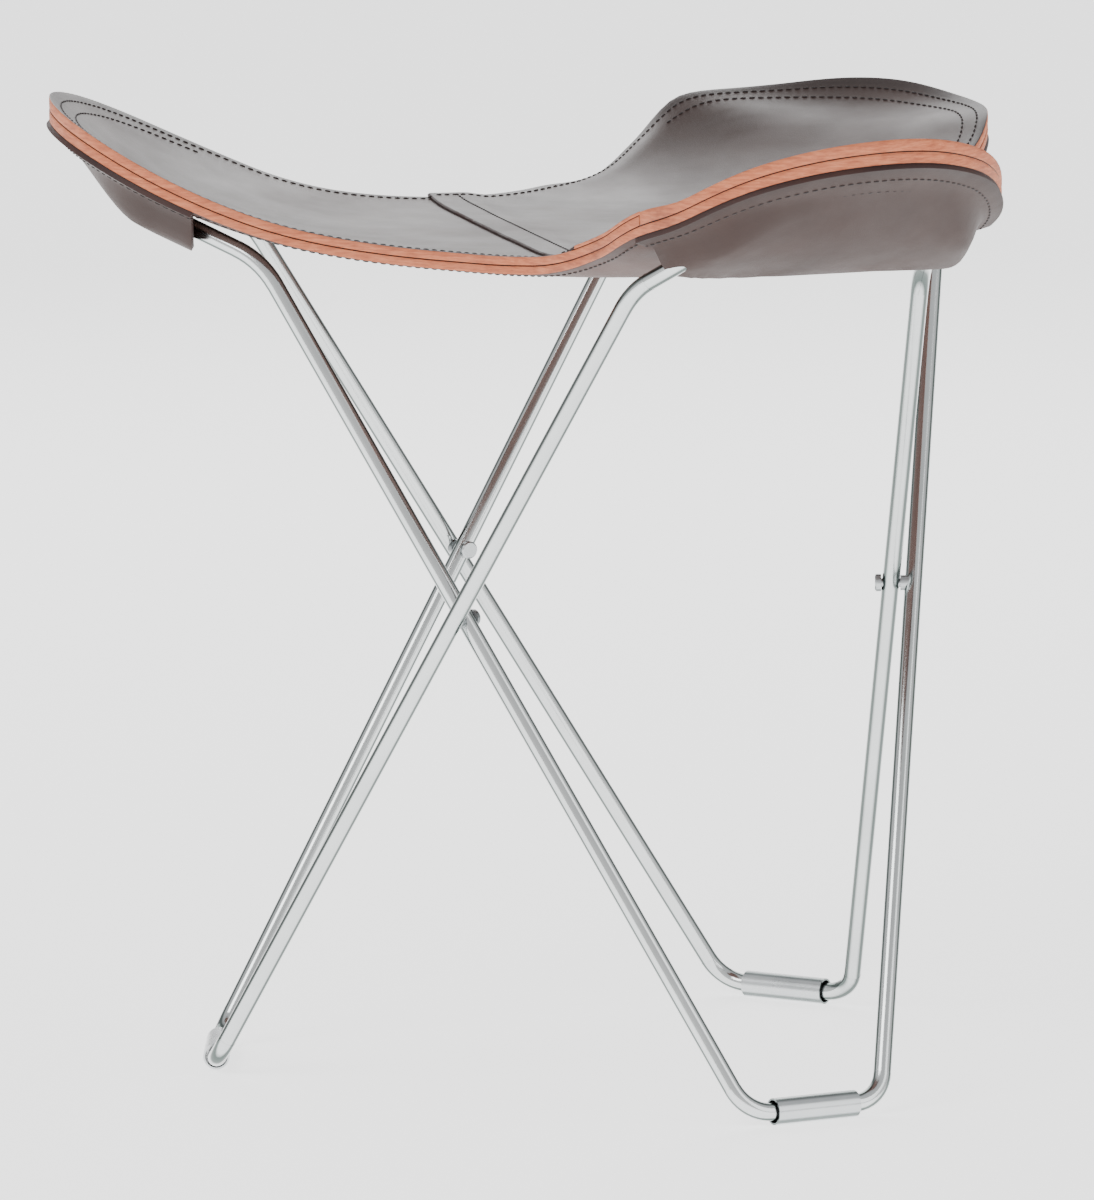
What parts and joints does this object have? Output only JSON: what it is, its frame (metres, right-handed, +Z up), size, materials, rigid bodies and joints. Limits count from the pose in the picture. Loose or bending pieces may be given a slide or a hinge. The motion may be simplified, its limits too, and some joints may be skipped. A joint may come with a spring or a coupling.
{
  "type": "folding stool",
  "caption": "Folding stool with a three-lobed leather saddle seat whose pockets hang on the tips of bent steel rods that cross in pairs.",
  "frame": {"origin": "on the floor, at the middle axis of the seat", "axes": "+Z up; the head lobe of the seat points to -X, the front lobe to -Y at +X, and the back lobe to +Y at +X"},
  "size_m": [0.4275, 0.4658, 0.4433],
  "materials": {
    "rod_steel": "polished",
    "tube_steel": "polished",
    "bolt_steel": "satin",
    "top_leather": "semi-gloss",
    "lining_leather": "satin",
    "pocket_leather": "satin"
  },
  "bodies": {
    "left_foot": {"foot_tube_left": "tube_steel"},
    "leg_left_to_front": {"rod_left_to_front": "rod_steel", "pivot_bolt_left_front": "bolt_steel", "spacer_left_front": "bolt_steel"},
    "leg_left_to_back": {"rod_left_to_back": "rod_steel"},
    "leg_front_to_left": {"rod_front_to_left": "rod_steel"},
    "front_foot": {"foot_tube_front": "tube_steel"},
    "leg_front_to_back": {"rod_front_to_back": "rod_steel", "pivot_bolt_front_back": "bolt_steel", "spacer_front_back": "bolt_steel"},
    "leg_back_to_left": {"rod_back_to_left": "rod_steel", "pivot_bolt_back_left": "bolt_steel", "spacer_back_left": "bolt_steel"},
    "back_foot": {"foot_tube_back": "tube_steel"},
    "leg_back_to_front": {"rod_back_to_front": "rod_steel"},
    "seat": {"seat_head_panel": "top_leather", "seat_wing_panel": "top_leather", "seat_lining": "lining_leather", "pocket_left": "pocket_leather", "pocket_front": "pocket_leather", "pocket_back": "pocket_leather"}
  },
  "joints": [
    {"name": "fold", "type": "hinge", "parent": "left_foot", "child": "leg_left_to_front", "pos_m": [-0.177, -0.022, 0.006], "axis": [-0.5, -0.866, 0], "range_deg": [0, 22]},
    {"name": "left_foot_to_back_leg", "type": "hinge", "parent": "left_foot", "child": "leg_left_to_back", "pos_m": [-0.177, 0.01, 0.006], "axis": [-0.5, 0.866, 0], "range_deg": [-22, 0]},
    {"name": "left_front_pivot", "type": "hinge", "parent": "leg_left_to_front", "child": "leg_front_to_left", "pos_m": [-0.06723, -0.12245, 0.21997], "axis": [-0.5, -0.866, 0], "range_deg": [-44, 0]},
    {"name": "front_foot_pivot", "type": "hinge", "parent": "leg_front_to_left", "child": "front_foot", "pos_m": [0.07984, -0.15828, 0.006], "axis": [-0.5, -0.866, 0], "range_deg": [0, 22]},
    {"name": "front_foot_to_back_leg", "type": "hinge", "parent": "front_foot", "child": "leg_front_to_back", "pos_m": [0.10756, -0.14228, 0.006], "axis": [1, 0, 0], "range_deg": [0, 22]},
    {"name": "back_left_pivot", "type": "hinge", "parent": "leg_left_to_back", "child": "leg_back_to_left", "pos_m": [-0.07243, 0.11945, 0.21997], "axis": [-0.5, 0.866, 0], "range_deg": [0, 44]},
    {"name": "back_foot_pivot", "type": "hinge", "parent": "leg_back_to_left", "child": "back_foot", "pos_m": [0.06944, 0.16429, 0.006], "axis": [-0.5, 0.866, 0], "range_deg": [-22, 0]},
    {"name": "back_foot_to_front_leg", "type": "hinge", "parent": "back_foot", "child": "leg_back_to_front", "pos_m": [0.09716, 0.14829, 0.006], "axis": [1, 0, 0], "range_deg": [-22, 0]},
    {"name": "seat_lift", "type": "slide", "parent": "left_foot", "child": "seat", "axis": [-0.6679, 0, 0.7442], "range_m": [0, 0.1573], "deforming": ["seat_head_panel", "seat_wing_panel", "seat_lining", "pocket_left", "pocket_front", "pocket_back"]}
  ],
  "couplings": [
    {"joint": "left_foot_to_back_leg", "follows": "fold", "ratio": -1},
    {"joint": "left_front_pivot", "follows": "fold", "ratio": -2},
    {"joint": "front_foot_pivot", "follows": "fold", "ratio": 1},
    {"joint": "front_foot_to_back_leg", "follows": "fold", "ratio": 1},
    {"joint": "back_left_pivot", "follows": "fold", "ratio": 2},
    {"joint": "back_foot_pivot", "follows": "fold", "ratio": -1},
    {"joint": "back_foot_to_front_leg", "follows": "fold", "ratio": -1},
    {"joint": "seat_lift", "follows": "fold", "m_per_rad": 0.4094}
  ]
}
